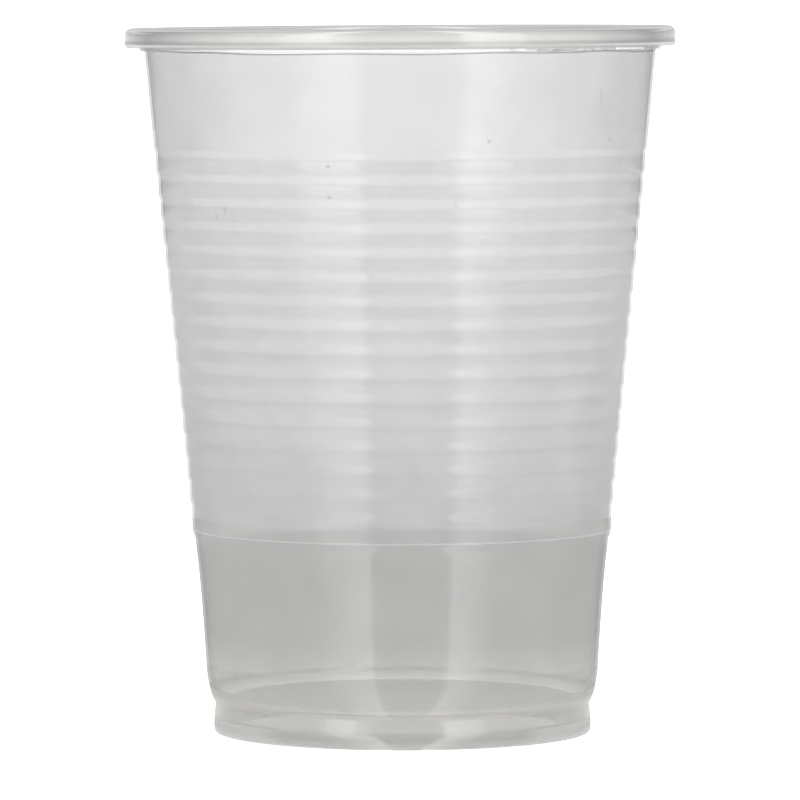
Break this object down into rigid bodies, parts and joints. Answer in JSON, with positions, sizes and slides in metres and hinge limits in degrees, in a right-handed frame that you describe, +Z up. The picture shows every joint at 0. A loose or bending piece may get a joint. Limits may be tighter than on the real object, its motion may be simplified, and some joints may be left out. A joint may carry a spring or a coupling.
{
  "type": "disposable cup",
  "caption": "Ribbed translucent plastic drinking cup with a rolled rim, a stacking ledge and a hollow foot ring.",
  "frame": {"origin": "centre of the foot ring, on the plane that the cup stands on", "axes": "+Z up along the cup's axis, from the foot to the rim"},
  "size_m": [0.0712, 0.0712, 0.0912],
  "materials": {
    "clear_plastic": "translucent, soft gloss"
  },
  "bodies": {
    "root": {"cup": "clear_plastic"}
  },
  "joints": []
}
